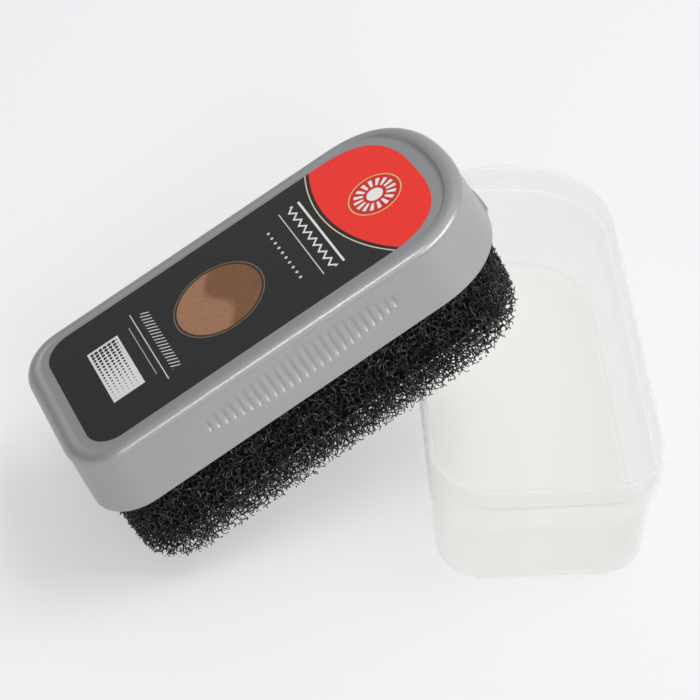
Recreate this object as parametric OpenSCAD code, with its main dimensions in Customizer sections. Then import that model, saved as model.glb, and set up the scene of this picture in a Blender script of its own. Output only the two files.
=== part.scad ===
// Suede brush with its clip-on cover taken off.
// A hollow moulded casing is the handle. A plate pinned inside its skirt carries a block of open-cell foam.
// The cover stands open side up on its base, and the brush leans with its foam on the cover's rim.
// All lengths are in millimetres, +Z is up, and the origin is the centre of the cover's base.

/* [Casing outline] */
// Length of the casing along its skirt, from square end to nose
casing_l = 141; // [115:1:170]
// Width of the casing across its skirt
casing_w = 63.8; // [54:0.2:76]
// Radius of the two corners at the square end
casing_corner = 15.6; // [11:0.2:20]
// Depth of the rounded nose, from its tip back to the straight sides
nose_depth = 29; // [24:0.5:36]
// Fullness of the nose, where 2 is an ellipse and more is squarer
nose_fullness = 2.3; // [2:0.05:2.8]

/* [Casing profile] */
// Height of the casing from its skirt edge to its top bead
casing_h = 22.5; // [19:0.5:30]
// Thickness of the casing's side and end walls
casing_wall = 2; // [1.5:0.1:2.6]
// Thickness of the casing's roof under the label panel
casing_roof = 2.2; // [1.6:0.1:3]
// Distance that the end walls lean in over the casing's height
end_draft = 1.4; // [0:0.1:2]
// Distance that the side walls lean in over the casing's height
side_draft = 0; // [0:0.1:1]
// Radius of the bead round the top edge
bead_r = 2.8; // [2:0.1:3.6]
// Extra height of the bead at the two ends
bead_rise = 0.8; // [0:0.1:1.4]
// Depth of the crease below the bead
crease_depth = 0.4; // [0.2:0.1:0.7]
// Height of the crease below the bead
crease_h = 0.8; // [0.5:0.1:1.5]

/* [Label panel] */
// Depth of the panel below the bead's side runs
panel_drop = 0.3; // [0.1:0.1:0.8]
// Distance from the skirt outline to the panel along the sides
panel_side = 4.3; // [3.8:0.1:6]
// Distance from the skirt outline to the panel at the nose
panel_nose = 7; // [6:0.1:9]
// Distance from the skirt outline to the panel at the square end
panel_square = 6.3; // [6:0.1:9]
// Margin between the label and the panel's edge along the sides
label_side_gap = 1.4; // [0.6:0.1:3]
// Margin between the label and the panel's edge at the nose
label_nose_gap = 4.5; // [3:0.1:7]
// Margin between the label and the panel's edge at the square end
label_square_gap = 3.2; // [2:0.1:6]
// Radius of the label's corners at the square end
label_corner = 8.8; // [5:0.2:12]
// Depth of the label's rounded nose
label_nose = 23; // [18:0.5:28]
// Fullness of the label's nose
label_fullness = 2.75; // [2:0.05:3]
// Thickness of the label
label_t = 0.15; // [0.1:0.05:0.25]

/* [Grip grooves] */
// Number of grooves on each side
groove_count = 25; // [15:1:27]
// Distance from groove to groove
groove_pitch = 2.6; // [2.2:0.1:2.8]
// Width of one groove
groove_w = 1.2; // [0.8:0.1:1.5]
// Radius of the disc that shapes each groove's floor
groove_disc_r = 24; // [20:1:30]
// Length of the middle groove
groove_len_mid = 9.7; // [7:0.1:11]
// Length of the grooves at both ends of the row
groove_len_end = 3.2; // [2:0.1:5]
// Height of the row's middle above the skirt edge
groove_row_h = 11.8; // [9:0.1:12]

/* [Catches] */
// Width of the catch bead on the casing's nose
nose_catch_w = 17; // [10:1:22]
// Width of the catch bead on the casing's square end
square_catch_w = 8; // [4:1:14]
// Height of the casing's catch beads
catch_h = 1.4; // [0.8:0.1:2]
// Distance that the casing's catch beads stand proud
catch_proud = 0.5; // [0.3:0.1:0.6]
// Height of the cover's snap beads
snap_h = 1; // [0.6:0.1:1.4]
// Distance that the cover's snap beads stand proud
snap_proud = 0.8; // [0.5:0.1:0.8]
// Distance from the cover's rim down to its snap beads
snap_drop = 4.9; // [3:0.1:5.2]

/* [Inside the casing] */
// Thickness of the stiffening ribs
rib_t = 1.5; // [1:0.1:2.5]
// Number of cross ribs
rib_count = 4; // [2:1:6]
// Diameter of the bosses
boss_d = 7; // [6:0.2:9]
// Diameter of the pins on the backing plate
pin_d = 3; // [2.5:0.1:3.6]
// Length of the pins
pin_l = 9; // [5:0.5:11]
// Gap all round a pin in its boss
pin_gap = 0.06; // [0.03:0.01:0.1]
// Distance between the bosses along the casing
boss_span_x = 88; // [70:1:96]
// Distance between the bosses across the casing
boss_span_y = 38; // [32:1:42]

/* [Backing plate] */
// Thickness of the plate
plate_t = 2.5; // [2:0.1:4]
// Depth of the plate's underside above the skirt edge
plate_recess = 1.5; // [1:0.1:3]
// Gap between the plate's edge and the skirt's inside
plate_gap = 0.4; // [0.2:0.05:0.6]

/* [Foam] */
// Height of foam that shows below the skirt edge
foam_show = 28.8; // [18:0.2:40]
// Distance from the skirt outline to the foam's side
foam_inset = 2.9; // [2.7:0.1:5]
// Radius of the foam's corners at the square end
foam_corner = 17; // [10:0.5:20]
// Depth of the foam's rounded nose
foam_nose = 28; // [22:0.5:34]
// Thickness of the glue film
glue_t = 0.4; // [0.2:0.1:0.8]
// Distance from the foam's side to the edge of the glue film
glue_inset = 3; // [1:0.5:6]

/* [Cover] */
// Height of the cover
cover_h = 41.4; // [34:0.2:52]
// Thickness of the cover's rim wall
cover_wall = 1.3; // [1:0.1:1.6]
// Thickness of the cover's floor
cover_floor = 1.4; // [1:0.1:2]
// Gap between the casing's skirt and the cover's rim wall
cover_gap = 1; // [0.8:0.1:1.2]
// Depth of the rim band that takes the casing's skirt
band_h = 8.5; // [7.5:0.1:10]
// Width of the ledge that the skirt stands on
ledge_w = 1.1; // [1:0.1:2]
// Height of the proud lip round the rim
lip_h = 6; // [3:0.1:7]
// Distance that the lip stands proud of the band below it
lip_proud = 0.35; // [0.2:0.05:0.5]
// Distance from the rim down to the start of the outer shoulder
shoulder_drop = 12.9; // [11:0.1:14]
// Height of the outer shoulder
shoulder_h = 7.5; // [5:0.5:9]
// Distance that the shoulder steps in
shoulder_step = 1.9; // [1.2:0.1:2.2]
// Distance that the outer wall leans in below the shoulder
base_draft = 1; // [0.5:0.1:1.5]
// Radius of the rounded edge round the base
base_r = 2; // [1.5:0.1:3]
// Distance that the inner wall leans in below the ledge
tray_draft = 2; // [1.4:0.1:2.4]
// Radius of the fillet round the cover's floor inside
tray_r = 1; // [0.6:0.1:1.4]

/* [Pose on the cover] */
// Turn of the brush about its own upright, measured from the cover's long axis
brush_turn = -68.7; // [-76:0.1:-60]
// Distance of the foam's middle from the rim, up the lean
brush_slide = 32.5; // [26:0.1:38]
// Distance of the foam's middle along the rim
brush_shift = -17.1; // [-26:0.1:0]
// Gap left between the brush and what it rests on
rest_gap = 0.3; // [0.1:0.05:0.5]

/* [Hidden] */
$fn = 48;
joint_overlap = 0.6; // a rib, boss or bead is sunk this far into the wall that carries it
nose_steps = 32;
corner_steps = 8;
bead_steps = 6;
round_steps = 4;

// Heights in the brush's own frame, whose zero is the foam's lower face
skirt_z = foam_show;
bead_z = skirt_z + casing_h;
bead_low_z = bead_z - bead_r;
panel_z = bead_z - panel_drop;
roof_z = panel_z - casing_roof;
plate_z = skirt_z + plate_recess;
plate_top_z = plate_z + plate_t;
foam_h = plate_z - glue_t;
groove_z = skirt_z + groove_row_h;

// The label takes its size and place from the panel
label_w = casing_w - 2 * (panel_side + label_side_gap);
label_nose_x = casing_l / 2 - panel_nose - label_nose_gap;
label_square_x = casing_l / 2 - panel_square - label_square_gap;
label_l = label_nose_x + label_square_x;
label_x = (label_nose_x - label_square_x) / 2;

// Cover sizes that follow from the casing and the gaps
rim_out = cover_gap + cover_wall;
ledge_z = cover_h - band_h;
shoulder_z = cover_h - shoulder_drop;
shoulder_low_z = shoulder_z - shoulder_h;
rim_chamfer = cover_wall / 4;
wall_in = lip_proud + shoulder_step;
base_in = wall_in + base_draft;
tray_in = cover_wall + ledge_w;
tray_low_in = tray_in + tray_draft;

// A point is [x, y, normal x, normal y]. The outline runs anticlockwise from the nose's right flank.
function sgn(v) = v < 0 ? -1 : 1;
function unit(v) = v / norm(v);
function nose_point(l, w, depth, full, t) =
    let (c = abs(cos(t)), s = abs(sin(t)), side = sgn(t),
         n = unit([pow(c, 2 - 2 / full) / depth, side * pow(s, 2 - 2 / full) / (w / 2)]))
    [l / 2 - depth + depth * pow(c, 2 / full), side * w / 2 * pow(s, 2 / full), n[0], n[1]];
function corner_point(l, w, r, side, t) =
    [-l / 2 + r + r * cos(t), side * (w / 2 - r) + r * sin(t), cos(t), sin(t)];
function outline(l, w, r, depth, full) = concat(
    [for (i = [0 : nose_steps]) nose_point(l, w, depth, full, -90 + 180 * i / nose_steps)],
    [for (i = [0 : corner_steps]) corner_point(l, w, r, 1, 90 + 90 * i / corner_steps)],
    [for (i = [0 : corner_steps]) corner_point(l, w, r, -1, 180 + 90 * i / corner_steps)]);

casing_line = outline(casing_l, casing_w, casing_corner, nose_depth, nose_fullness);

// A level is [inset at sides, inset at nose, inset at square end, height at sides, height at ends]
function level(side, nose, square, z, z_end) = [side, nose, square, z, z_end];
function even(inset, z) = level(inset, inset, inset, z, z);
function ring(line, lv) = [for (p = line)
    let (e = p[2] * p[2], inset = lv[0] + ((p[2] > 0 ? lv[1] : lv[2]) - lv[0]) * e)
    [p[0] - inset * p[2], p[1] - inset * p[3], lv[3] + (lv[4] - lv[3]) * e]];

// Closed solid through a list of levels, from its lower cap to its upper cap
module loft(line, levels) {
    count = len(line);
    points = [for (lv = levels) each ring(line, lv)];
    top = count * (len(levels) - 1);
    faces = concat(
        [[for (i = [0 : count - 1]) i]],
        [[for (i = [count - 1 : -1 : 0]) top + i]],
        [for (k = [0 : len(levels) - 2], i = [0 : count - 1])
            let (a = k * count + i, b = k * count + (i + 1) % count)
            each [[a, a + count, b], [b, a + count, b + count]]]);
    polyhedron(points, faces, convexity = 6);
}

// Flat plate of an outline
module plate(line, inset, z, t) {
    translate([0, 0, z])
        linear_extrude(t) polygon([for (p = line) [p[0] - inset * p[2], p[1] - inset * p[3]]]);
}

// Wall inset at a height above the skirt edge, where share is that height over the wall's height
function draft_share(z) = (z - skirt_z) / (bead_low_z - crease_h - skirt_z);
function draft_level(inset, z) = let (s = draft_share(z))
    level(inset + side_draft * s, inset + end_draft * s, inset + end_draft * s, z, z);

// The brush leans on the rim: the foam's far corner is let down until it nearly meets the floor
foam_l = casing_l - 2 * foam_inset;
foam_w = casing_w - 2 * foam_inset;
rim_y = casing_w / 2 + rim_out;
reach = brush_slide + foam_corner
    + (foam_l / 2 - foam_corner) * abs(sin(brush_turn)) + (foam_w / 2 - foam_corner) * abs(cos(brush_turn));
lean = asin(cover_h / reach);
module on_the_rim() {
    translate([0, rim_y, cover_h + rest_gap]) rotate([-lean, 0, 0])
        translate([brush_shift, brush_slide, 0]) rotate([0, 0, brush_turn]) children();
}

// Places of the four bosses
module at_bosses() {
    for (x = [-0.5, 0.5], y = [-0.5, 0.5]) translate([x * boss_span_x, y * boss_span_y, 0]) children();
}

function groove_len(i) = let (u = 2 * i / (groove_count - 1) - 1)
    groove_len_mid + (groove_len_end - groove_len_mid) * u * u;

// One row of grooves, each cut by a thin disc that dips into the wall
module groove_row(side) {
    wall_y = casing_w / 2 - side_draft * draft_share(groove_z);
    for (i = [0 : groove_count - 1]) {
        dip = groove_disc_r - sqrt(pow(groove_disc_r, 2) - pow(groove_len(i) / 2, 2));
        translate([(i - (groove_count - 1) / 2) * groove_pitch, side * (wall_y + groove_disc_r - dip), groove_z])
            rotate([0, 90, 0]) cylinder(r = groove_disc_r, h = groove_w, center = true);
    }
}

// Band round the outline, cut down to one end of the casing
module end_bead(out, in, z, h, w, side) {
    intersection() {
        difference() {
            plate(casing_line, -out, z, h);
            plate(casing_line, in, z - 1, h + 2);
        }
        translate([side * casing_l / 2, 0, z]) cube([casing_l / 2, w, 4 * h], center = true);
    }
}

// Outside of the casing: drafted wall, crease, rounded bead that rises at both ends, and label panel
module casing_body() {
    crease_z = bead_low_z - crease_h / 2;
    loft(casing_line, concat(
        [even(0, skirt_z),
         draft_level(0, bead_low_z - crease_h),
         level(side_draft + crease_depth, end_draft + crease_depth, end_draft + crease_depth, crease_z, crease_z)],
        [for (i = [0 : bead_steps]) let (t = 90 * i / bead_steps, in = bead_r * (1 - cos(t)), up = bead_r * sin(t))
            level(side_draft + in, end_draft + in, end_draft + in,
                  bead_low_z + up, bead_low_z + up + bead_rise * sin(t))],
        [level(panel_side - panel_drop, panel_nose - bead_rise, panel_square - bead_rise,
               bead_z, bead_z + bead_rise),
         level(panel_side, panel_nose, panel_square, panel_z, panel_z)]));
}

// Handle shell, moulded in one piece with ribs, bosses and catch beads
module casing() {
    color("#8f9092") on_the_rim() difference() {
        union() {
            difference() {
                casing_body();
                loft(casing_line, [draft_level(casing_wall, skirt_z - 1), draft_level(casing_wall, roof_z)]);
            }
            intersection() {
                plate(casing_line, casing_wall + end_draft - joint_overlap, plate_top_z,
                      roof_z + joint_overlap - plate_top_z);
                union() {
                    for (i = [1 : rib_count])
                        translate([(i / (rib_count + 1) - 0.5) * casing_l - rib_t / 2, -casing_w / 2, skirt_z])
                            cube([rib_t, casing_w, casing_h]);
                    translate([-casing_l / 2, -rib_t / 2, skirt_z]) cube([casing_l, rib_t, casing_h]);
                }
            }
            at_bosses() translate([0, 0, plate_top_z])
                cylinder(d = boss_d, h = roof_z + joint_overlap - plate_top_z);
            end_bead(catch_proud, joint_overlap, skirt_z, catch_h, nose_catch_w, 1);
            end_bead(catch_proud, joint_overlap, skirt_z, catch_h, square_catch_w, -1);
        }
        at_bosses() translate([0, 0, plate_top_z - 1])
            cylinder(d = pin_d + 2 * pin_gap, h = pin_l + 2);
        groove_row(1);
        groove_row(-1);
    }
}

// Printed film label on the panel
module label() {
    color("#2b2b2b") on_the_rim() translate([label_x, 0, 0])
        plate(outline(label_l, label_w, label_corner, label_nose, label_fullness), 0, panel_z, label_t);
}

// Plate inside the skirt, pinned into the bosses
module backing_plate() {
    color("#6f7072") on_the_rim() union() {
        plate(casing_line, casing_wall + plate_gap, plate_z, plate_t);
        at_bosses() translate([0, 0, plate_top_z - joint_overlap])
            cylinder(d = pin_d, h = pin_l + joint_overlap);
    }
}

foam_line = outline(foam_l, foam_w, foam_corner, foam_nose, nose_fullness);

// Glue film between the plate and the foam
module foam_adhesive() {
    color("#c9b98a") on_the_rim() plate(foam_line, glue_inset, foam_h, glue_t);
}

// Block of open-cell foam that does the brushing
module foam_block() {
    color("#1c1c1c") on_the_rim() plate(foam_line, 0, 0, foam_h);
}

// Outer and inner levels of the cover. Insets are measured from the rim's outer face.
function at_rim(inset, z) = even(inset - rim_out, z);
function ease(u) = (1 - cos(180 * u)) / 2;

module cover() {
    color("#e9ebe8", 0.6) union() {
        difference() {
            loft(casing_line, concat(
                [for (i = [0 : round_steps]) let (t = 90 * i / round_steps)
                    at_rim(base_in + base_r * (1 - sin(t)), base_r * (1 - cos(t)))],
                [for (i = [0 : round_steps]) let (u = i / round_steps)
                    at_rim(wall_in - shoulder_step * ease(u), shoulder_low_z + shoulder_h * u)],
                [at_rim(lip_proud, cover_h - lip_h - lip_proud),
                 at_rim(0, cover_h - lip_h),
                 at_rim(0, cover_h - rim_chamfer),
                 at_rim(rim_chamfer, cover_h)]));
            loft(casing_line, concat(
                [for (i = [0 : round_steps]) let (t = 90 * i / round_steps)
                    at_rim(tray_low_in + tray_r * (1 - sin(t)), cover_floor + tray_r * (1 - cos(t)))],
                [at_rim(tray_in, ledge_z),
                 at_rim(cover_wall, ledge_z),
                 at_rim(cover_wall, cover_h - rim_chamfer),
                 at_rim(cover_wall - rim_chamfer, cover_h),
                 at_rim(cover_wall - rim_chamfer, cover_h + 1)]));
        }
        snap_z = cover_h - snap_drop - snap_h;
        end_bead(cover_gap + joint_overlap, snap_proud - cover_gap, snap_z, snap_h, square_catch_w, -1);
        end_bead(cover_gap + joint_overlap, snap_proud - cover_gap, snap_z, snap_h, nose_catch_w, 1);
    }
}

casing();
label();
backing_plate();
foam_adhesive();
foam_block();
cover();
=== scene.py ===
import itertools
import math

import bpy
import numpy as np
from mathutils import Matrix, Vector
from mathutils.kdtree import KDTree


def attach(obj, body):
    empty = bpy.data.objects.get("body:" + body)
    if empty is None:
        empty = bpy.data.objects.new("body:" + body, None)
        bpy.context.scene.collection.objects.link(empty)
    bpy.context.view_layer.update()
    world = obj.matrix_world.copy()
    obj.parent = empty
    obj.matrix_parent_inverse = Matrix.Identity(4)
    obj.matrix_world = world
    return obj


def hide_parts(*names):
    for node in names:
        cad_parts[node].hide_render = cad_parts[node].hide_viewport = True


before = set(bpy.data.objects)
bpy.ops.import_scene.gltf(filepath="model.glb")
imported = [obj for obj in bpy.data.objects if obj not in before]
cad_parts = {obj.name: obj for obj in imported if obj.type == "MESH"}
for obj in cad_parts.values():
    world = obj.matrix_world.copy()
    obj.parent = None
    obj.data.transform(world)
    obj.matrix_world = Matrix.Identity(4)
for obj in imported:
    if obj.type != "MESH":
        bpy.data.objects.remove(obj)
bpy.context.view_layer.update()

# Casing: a hollow handle moulded in one piece from silver-grey ABS, D-shaped from above. A rounded bead with a
# crease below it runs round the top edge, the two ends rise a little round the label's panel, and each long
# side has a row of 25 short finger grooves in a slight hollow. Catch beads at both ends hold the cover.
CASING_L, CASING_W, CORNER, NOSE_DEPTH, NOSE_FULL = 141.0, 63.8, 15.6, 29.0, 2.3
SKIRT_Z, BEAD_Z = 28.8, 51.3                # the wall's lower edge, and the bead's top along the sides
WALL, ROOF, SIDE_DRAFT, END_DRAFT = 2.0, 2.2, 0.35, 1.75
BEAD_R, END_BEAD_R, BEAD_DROP, BEAD_RISE = 2.5, 3.3, 2.6, 0.8
BEAD_OUT, CREASE_H = 0.35, 0.4              # the bead's overhang past the wall, and the crease's height below it
PANEL_DROP, PANEL_SIDE, PANEL_NOSE, PANEL_SQUARE, PANEL_RAMP = 0.3, 4.4, 7.0, 6.3, 0.9
NOSE_CATCH_W, SQUARE_CATCH_W, CATCH_H, CATCH_PROUD = 17.0, 8.0, 1.4, 0.85
CATCH_LEAD, CATCH_BACK = 0.25, 0.4          # heights over which a catch bead grows from the skirt's edge and ends
EDGE_R, INNER_R, CAP_INSET = 0.35, 1.0, 12.0

# The brush lies turned across its cover's rim, and the lean is what lets its far corner down to the table
COVER_H, RIM_OUT = 41.4, 2.3
FOAM_L, FOAM_W, FOAM_CORNER = 135.2, 58.0, 17.0
BRUSH_TURN, BRUSH_SLIDE, BRUSH_SHIFT, REST_GAP = math.radians(-68.7), 32.5, -17.1, 0.3
reach = (BRUSH_SLIDE + FOAM_CORNER + (FOAM_L / 2 - FOAM_CORNER) * abs(math.sin(BRUSH_TURN))
         + (FOAM_W / 2 - FOAM_CORNER) * abs(math.cos(BRUSH_TURN)))
mm_to_m = Matrix.Scale(0.001, 4)
on_the_rim = (mm_to_m
              @ Matrix.Translation((0, CASING_W / 2 + RIM_OUT, COVER_H + REST_GAP))
              @ Matrix.Rotation(-math.asin(COVER_H / reach), 4, "X")
              @ Matrix.Translation((BRUSH_SHIFT, BRUSH_SLIDE, 0))
              @ Matrix.Rotation(BRUSH_TURN, 4, "Z"))


def outline(length, width, corner, depth, side_x, full=NOSE_FULL, nose_steps=96, corner_steps=24):
    """Points [x, y, normal x, normal y] anticlockwise: nose, far side, two corners, near side."""
    t = np.linspace(-math.pi / 2, math.pi / 2, nose_steps + 1)
    c, s, sign = np.abs(np.cos(t)), np.abs(np.sin(t)), np.sign(t)
    c[[0, -1]], s[[0, -1]] = 0, 1
    nx, ny = c ** (2 - 2 / full) / depth, sign * s ** (2 - 2 / full) / (width / 2)
    size = np.hypot(nx, ny)
    nose = np.c_[length / 2 - depth + depth * c ** (2 / full), sign * width / 2 * s ** (2 / full),
                 nx / size, ny / size]
    far = np.c_[side_x, np.full(len(side_x), width / 2), np.zeros(len(side_x)), np.ones(len(side_x))]
    near = far[::-1] * [1, -1, 1, -1]
    t = np.linspace(math.pi / 2, math.pi, corner_steps + 1)
    bend = np.c_[-length / 2 + corner + corner * np.cos(t), width / 2 - corner + corner * np.sin(t),
                 np.cos(t), np.sin(t)]
    return np.vstack([nose, far, bend, bend[::-1] * [1, -1, 1, -1], near])


def ring(line, side, nose, square, z, z_end=None):
    """The outline drawn in by an amount that differs between the sides and the two ends, at its height."""
    e = line[:, 2] ** 2
    inset = side + (np.where(line[:, 2] > 0, nose, square) - side) * e
    height = z + ((z if z_end is None else z_end) - z) * e
    return np.c_[line[:, :2] - inset[:, None] * line[:, 2:], height]


def window(y, width, soft):
    """1 inside a width about the middle, falling off softly at its two edges."""
    t = np.clip((width / 2 - np.abs(y)) / soft + 0.5, 0, 1)
    return t * t * (3 - 2 * t)


def catch_beads(line, width_nose, width_square, soft=0.7):
    """How much of a catch bead there is at each point of an outline: one at the nose, one at the square end."""
    nose, square = line[:, 2] > 0.8, line[:, 2] < -0.8
    return nose * window(line[:, 1], width_nose, soft) + square * window(line[:, 1], width_square, soft)


def skin(name, rings, sharp_deg=38):
    """Closed mesh through rings of equal length, in the rings' own order, with a cap at either end."""
    count = len(rings[0])
    caps = [list(range(count))[::-1], [count * (len(rings) - 1) + i for i in range(count)]]
    i = np.arange(count)
    j = np.roll(i, -1)
    quads = [np.c_[k * count + i, k * count + j, (k + 1) * count + j, (k + 1) * count + i]
             for k in range(len(rings) - 1)]
    mesh = bpy.data.meshes.new(name)
    mesh.from_pydata(np.vstack(rings).tolist(), [], caps + np.vstack(quads).tolist())
    mesh.shade_smooth()
    mesh.set_sharp_from_angle(angle=math.radians(sharp_deg))
    piece = bpy.data.objects.new(name, mesh)
    bpy.context.scene.collection.objects.link(piece)
    return piece


def colour(code):
    """sRGB hex to linear RGBA."""
    part = [int(code[k:k + 2], 16) / 255 for k in (1, 3, 5)]
    return (*[p / 12.92 if p <= 0.04045 else ((p + 0.055) / 1.055) ** 2.4 for p in part], 1.0)


def blank_material(name):
    material = bpy.data.materials.new(name)
    material.use_nodes = True
    material.node_tree.nodes.clear()
    return material


def add(tree, kind, inputs=(), out=0, **settings):
    """Adds a node with its settings and links, and gives back one of its outputs, or all where out is None.

    An input is a value or the output that it is joined to, in the sockets' order or by socket."""
    node = tree.nodes.new(kind)
    for key, value in settings.items():
        setattr(node, key, value)
    for key, value in inputs.items() if isinstance(inputs, dict) else enumerate(inputs):
        socket = next((s for s in node.inputs if s.identifier == key), None) or node.inputs[key]
        if isinstance(value, bpy.types.NodeSocket):
            tree.links.new(value, socket)
        else:
            socket.default_value = value
    return node.outputs if out is None else node.outputs[out]


# Points along a side lie close together where the grip grooves are
side_x = np.r_[np.linspace(41, 35, 5), np.arange(34, -34.01, -0.2), np.linspace(-35, -54.5, 9)]
casing_line = outline(CASING_L, CASING_W, CORNER, NOSE_DEPTH, side_x)
wall_top = BEAD_Z - BEAD_DROP - CREASE_H
ceiling = BEAD_Z - PANEL_DROP - ROOF
catches = catch_beads(casing_line, NOSE_CATCH_W, SQUARE_CATCH_W)


def wall_ring(inset, z, beads=0.0):
    """A ring on the drafted wall. beads is how much of the catch beads' height it is to carry."""
    share = (z - SKIRT_Z) / (wall_top - SKIRT_Z)
    points = ring(casing_line, inset + SIDE_DRAFT * share, *[inset + END_DRAFT * share] * 2, z)
    points[:, :2] += (CATCH_PROUD * beads * catches)[:, None] * casing_line[:, 2:]
    return points


# Inside: from the middle of the ceiling round its edge, down the wall and round the skirt's edge
rings = [ring(casing_line, *[WALL + CAP_INSET] * 3, ceiling)]
for t in np.radians(np.linspace(0, 90, 5)):
    rings.append(wall_ring(WALL + INNER_R * (1 - math.sin(t)), ceiling - INNER_R * (1 - math.cos(t))))
rings += [wall_ring(WALL, z) for z in (44, 40, 36, 33, SKIRT_Z + EDGE_R)]
for t in np.radians(np.linspace(30, 90, 3)):
    rings.append(ring(casing_line, *[WALL - EDGE_R * (1 - math.cos(t))] * 3,
                      SKIRT_Z + EDGE_R * (1 - math.sin(t))))
# Outside: up the wall, in close rings over the catch beads and the grip grooves
edge_z = SKIRT_Z + EDGE_R * (1 - np.cos(np.radians(np.linspace(0, 90, 5))))
catch_z, plain_z = np.arange(29.3, 30.8, 0.15), np.arange(31.2, 34.6, 0.8)
groove_z = np.arange(34.8, 46.5, 0.3)
for z in np.r_[edge_z, catch_z, plain_z, groove_z, wall_top - 0.6]:
    round_in = EDGE_R - math.sqrt(max(0.0, EDGE_R ** 2 - max(0.0, SKIRT_Z + EDGE_R - z) ** 2))
    lead, back = (z - SKIRT_Z) / CATCH_LEAD + 0.4, (SKIRT_Z + CATCH_H - z) / CATCH_BACK + 0.5
    rings.append(wall_ring(round_in, z, float(np.clip(lead, 0, 1) * np.clip(back, 0, 1))))
# The crease turns out under the bead, and the bead is a quarter of an ellipse, wider and higher at the ends
for t in np.radians(np.linspace(0, 90, 7)):
    under = BEAD_OUT * math.sin(t)
    rings.append(ring(casing_line, SIDE_DRAFT - under, *[END_DRAFT - under] * 2,
                      wall_top + CREASE_H * (1 - math.cos(t))))
for t in np.radians(np.linspace(4, 90, 15)):
    share, z = 1 - math.cos(t), BEAD_Z - BEAD_DROP * (1 - math.sin(t))
    rings.append(ring(casing_line, BEAD_R * share, *[END_DRAFT - BEAD_OUT + END_BEAD_R * share] * 2,
                      z, z + BEAD_RISE * math.sin(t)))
# The rise falls to the panel in a short ramp that is rounded at its top and its foot
panel_edges = np.array([PANEL_SIDE, PANEL_NOSE, PANEL_SQUARE])
for u in np.linspace(0, 1, 9):
    ease = (1 - math.cos(math.pi * u)) / 2
    rings.append(ring(casing_line, *(panel_edges - PANEL_RAMP * (1 - u)), BEAD_Z - PANEL_DROP * ease,
                      BEAD_Z + BEAD_RISE - (PANEL_DROP + BEAD_RISE) * ease))
rings += [ring(casing_line, *(panel_edges + further), BEAD_Z - PANEL_DROP) for further in (0.8, 9.0)]
casing = skin("casing_moulded_shell", rings)

# Moulded ABS, silver-grey and satin with a pearly pigment. A fine spark-eroded texture softens its highlights, and
# the flow of the melt leaves a faint cloudiness.
SPARK_GRAIN, MELT_CLOUD = 1 / 2.8, 1 / 0.028    # mm
abs_plastic = blank_material("moulded_silver_abs")
tree = abs_plastic.node_tree
where = add(tree, "ShaderNodeTexCoord", out="Object")
grain = add(tree, "ShaderNodeTexNoise", {"Vector": where, "Scale": 1000 / SPARK_GRAIN, "Detail": 3.0,
                                         "Roughness": 0.6})
flow = add(tree, "ShaderNodeTexNoise", {"Vector": where, "Scale": 1000 / MELT_CLOUD, "Detail": 2.0})
surface = add(tree, "ShaderNodeBsdfPrincipled", {
    "Base Color": add(tree, "ShaderNodeMix", {"Factor_Float": flow, "A_Color": colour("#a0a1a2"),
                                              "B_Color": colour("#a5a6a7")}, out=2, data_type="RGBA"),
    "Roughness": add(tree, "ShaderNodeMapRange", {"Value": grain, "From Min": 0.3, "From Max": 0.7,
                                                  "To Min": 0.3, "To Max": 0.38}),
    "Normal": add(tree, "ShaderNodeBump", {"Height": grain, "Strength": 0.25, "Distance": 0.00006}),
    "IOR": 1.53, "Metallic": 0.35})
add(tree, "ShaderNodeOutputMaterial", {"Surface": surface}, out=None)

# Grip row: each groove is scooped out deepest at its middle and softened across its width, and the grooves get
# shorter from the middle of the row to its ends. The hollow round them is a shallow lens. All sizes are in mm.
GRIP = {"Pitch": 2.6, "Side number": 12.0, "Half width": 0.95, "Deepest": 0.5, "Middle length": 11.6,
        "End length": 4.4, "Row height": SKIRT_Z + 11.6, "Wall": CASING_W / 2, "Skin": 0.9,
        "Hollow depth": 0.25, "Hollow length": 38.0, "Hollow height": 6.6, "Hollow flat": 0.2}
grip = bpy.data.node_groups.new("grip_grooves", "GeometryNodeTree")
for way in ("INPUT", "OUTPUT"):
    grip.interface.new_socket("Geometry", in_out=way, socket_type="NodeSocketGeometry")
grip_ids = {name: grip.interface.new_socket(name, in_out="INPUT", socket_type="NodeSocketFloat").identifier
            for name in GRIP}
plastic_id = grip.interface.new_socket("Plastic", in_out="INPUT", socket_type="NodeSocketMaterial").identifier
given = add(grip, "NodeGroupInput", out=None)
place = add(grip, "ShaderNodeSeparateXYZ", [add(grip, "GeometryNodeInputPosition")], out=None)
number = add(grip, "ShaderNodeMath", [place["X"], given["Pitch"]], operation="DIVIDE")
number = add(grip, "ShaderNodeMath", [number], operation="ROUND")
number = add(grip, "ShaderNodeMath", [number, given["Side number"]], operation="MINIMUM")
lowest = add(grip, "ShaderNodeMath", [given["Side number"], -1.0], operation="MULTIPLY")
number = add(grip, "ShaderNodeMath", [number, lowest], operation="MAXIMUM")
middle = add(grip, "ShaderNodeMath", [number, given["Pitch"]], operation="MULTIPLY")
across = add(grip, "ShaderNodeMath", [place["X"], middle], operation="SUBTRACT")
across = add(grip, "ShaderNodeMath", [across], operation="ABSOLUTE")
open_share = add(grip, "ShaderNodeMapRange", {"Value": across, "From Max": given["Half width"], "To Min": 1.0,
                                              "To Max": 0.0}, interpolation_type="SMOOTHSTEP")
outward = add(grip, "ShaderNodeMath", [number, given["Side number"]], operation="DIVIDE")
outward = add(grip, "ShaderNodeMath", [outward, outward], operation="MULTIPLY")
length = add(grip, "ShaderNodeMapRange", {"Value": outward, "To Min": given["Middle length"],
                                          "To Max": given["End length"]})
half_chord = add(grip, "ShaderNodeMath", [length, 0.5], operation="MULTIPLY")
rise = add(grip, "ShaderNodeMath", [place["Z"], given["Row height"]], operation="SUBTRACT")
dip = add(grip, "ShaderNodeMath", [rise, half_chord], operation="DIVIDE")
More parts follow.
